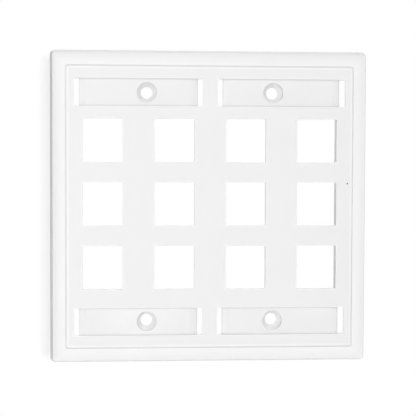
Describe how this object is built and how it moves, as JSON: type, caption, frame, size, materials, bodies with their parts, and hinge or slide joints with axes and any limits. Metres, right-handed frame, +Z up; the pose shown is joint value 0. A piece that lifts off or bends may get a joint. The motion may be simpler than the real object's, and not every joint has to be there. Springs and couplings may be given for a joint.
{
  "type": "keystone faceplate",
  "caption": "Square white wall plate with a grid of keystone jack ports, label recesses with end slots, countersunk box screw holes and latch frames on its back.",
  "frame": {"origin": "centre of the box screw holes, on the wall plane at the back of the rim", "axes": "+Z up on the wall, +X to the right seen from the front, +Y into the wall, front facing -Y"},
  "size_m": [0.1164, 0.01, 0.1142],
  "materials": {
    "white_plastic": "moulded satin"
  },
  "bodies": {
    "root": {"faceplate": "white_plastic"}
  },
  "joints": []
}
